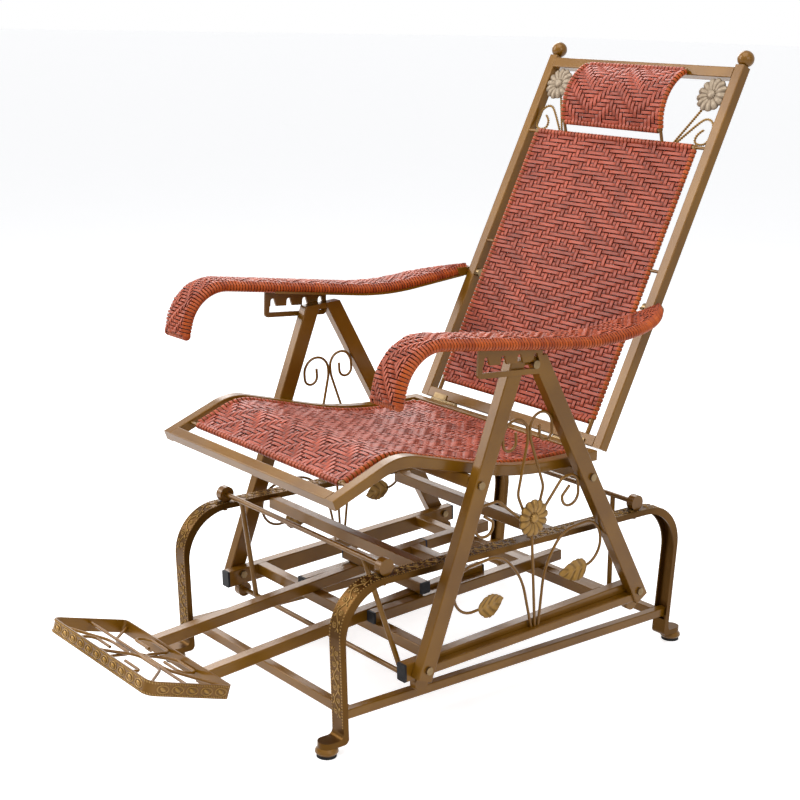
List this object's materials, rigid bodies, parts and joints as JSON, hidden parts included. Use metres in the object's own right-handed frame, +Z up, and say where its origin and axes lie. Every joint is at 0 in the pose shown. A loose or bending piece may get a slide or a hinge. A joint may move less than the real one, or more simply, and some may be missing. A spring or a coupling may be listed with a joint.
{
  "type": "reclining glider chair",
  "caption": "Woven reclining chair whose seat glides on hangers inside a fixed arched base, with following arms, a hinged back and a footrest that slides out.",
  "frame": {"origin": "on the floor under the middle of the bounding box, with the footrest out and the back upright", "axes": "+X to the sitter's left, -Y the way the sitter faces, +Z up"},
  "size_m": [0.654, 1.181, 1.0789],
  "materials": {
    "gold_frame": "satin",
    "woven_strand": "satin",
    "black_caps": "matte",
    "rubber_pads": "matte",
    "zinc": "satin"
  },
  "bodies": {
    "base": {"left_arch": "gold_frame", "right_arch": "gold_frame", "base_low_rails": "gold_frame", "base_ties": "gold_frame", "foot_cups": "gold_frame", "foot_pads": "rubber_pads", "upper_bearing_cups": "gold_frame"},
    "front_hanger": {"front_hanger_rods": "gold_frame", "front_hanger_links": "gold_frame"},
    "rear_hanger": {"rear_hanger_rods": "gold_frame", "rear_hanger_links": "gold_frame"},
    "chassis": {"left_chassis_rail": "gold_frame", "right_chassis_rail": "gold_frame", "chassis_crossbars": "gold_frame", "guide_rails": "gold_frame", "hold_down_bar": "gold_frame", "hold_down_studs": "gold_frame", "chassis_caps": "black_caps", "lower_bearing_cups": "gold_frame", "seat_supports": "gold_frame", "left_front_leg": "gold_frame", "right_front_leg": "gold_frame", "left_rear_leg": "gold_frame", "right_rear_leg": "gold_frame", "sill_bars": "gold_frame", "left_side_scroll": "gold_frame", "right_side_scroll": "gold_frame", "side_flowers": "gold_frame", "side_leaves": "gold_frame", "rack_pins": "zinc", "frame_bolts": "zinc", "frame_nuts": "zinc", "left_seat_rail": "gold_frame", "right_seat_rail": "gold_frame", "seat_front_bar": "gold_frame", "seat_rear_bar": "gold_frame", "seat_panel_rods": "gold_frame", "seat_weave": "woven_strand", "seat_hinge_barrels": "zinc"},
    "back": {"left_back_upright": "gold_frame", "right_back_upright": "gold_frame", "back_top_bar": "gold_frame", "back_bottom_bar": "gold_frame", "finials": "gold_frame", "back_panel_rods": "gold_frame", "back_weave": "woven_strand", "headrest_rods": "gold_frame", "headrest_weave": "woven_strand", "back_flowers": "gold_frame", "back_stems": "gold_frame", "back_hinge_barrels": "zinc", "arm_pivot_bolts": "zinc"},
    "left_arm": {"left_arm_weave": "woven_strand", "left_arm_frame": "gold_frame"},
    "right_arm": {"right_arm_weave": "woven_strand", "right_arm_frame": "gold_frame"},
    "footrest": {"footrest_runners": "gold_frame", "footrest_rim": "gold_frame", "footrest_scrolls": "gold_frame", "footrest_caps": "black_caps"}
  },
  "joints": [
    {"name": "swing", "type": "hinge", "parent": "base", "child": "front_hanger", "pos_m": [0, -0.20724, 0.2905], "axis": [1, 0, 0], "range_deg": [-10, 10]},
    {"name": "chassis_pivot", "type": "hinge", "parent": "front_hanger", "child": "chassis", "pos_m": [0, -0.15124, 0.091], "axis": [1, 0, 0], "range_deg": [-12, 12]},
    {"name": "rear_hanger_pivot", "type": "hinge", "parent": "base", "child": "rear_hanger", "pos_m": [0, 0.36476, 0.2905], "axis": [1, 0, 0], "range_deg": [-12, 12]},
    {"name": "back_recline", "type": "hinge", "parent": "chassis", "child": "back", "pos_m": [0, 0.24776, 0.407], "axis": [-1, 0, 0], "range_deg": [0, 32]},
    {"name": "left_arm_pivot", "type": "hinge", "parent": "back", "child": "left_arm", "pos_m": [0.245, 0.37342, 0.64017], "axis": [-1, 0, 0], "range_deg": [-20, 0]},
    {"name": "right_arm_pivot", "type": "hinge", "parent": "back", "child": "right_arm", "pos_m": [-0.245, 0.37342, 0.64017], "axis": [-1, 0, 0], "range_deg": [-20, 0]},
    {"name": "footrest_slide", "type": "slide", "parent": "chassis", "child": "footrest", "axis": [0, 0.9955, 0.095], "range_m": [0, 0.3]}
  ],
  "couplings": [
    {"joint": "chassis_pivot", "follows": "swing", "ratio": -1.1845},
    {"joint": "rear_hanger_pivot", "follows": "swing", "ratio": 1.1795},
    {"joint": "left_arm_pivot", "follows": "back_recline", "ratio": -0.61},
    {"joint": "right_arm_pivot", "follows": "back_recline", "ratio": -0.61}
  ]
}
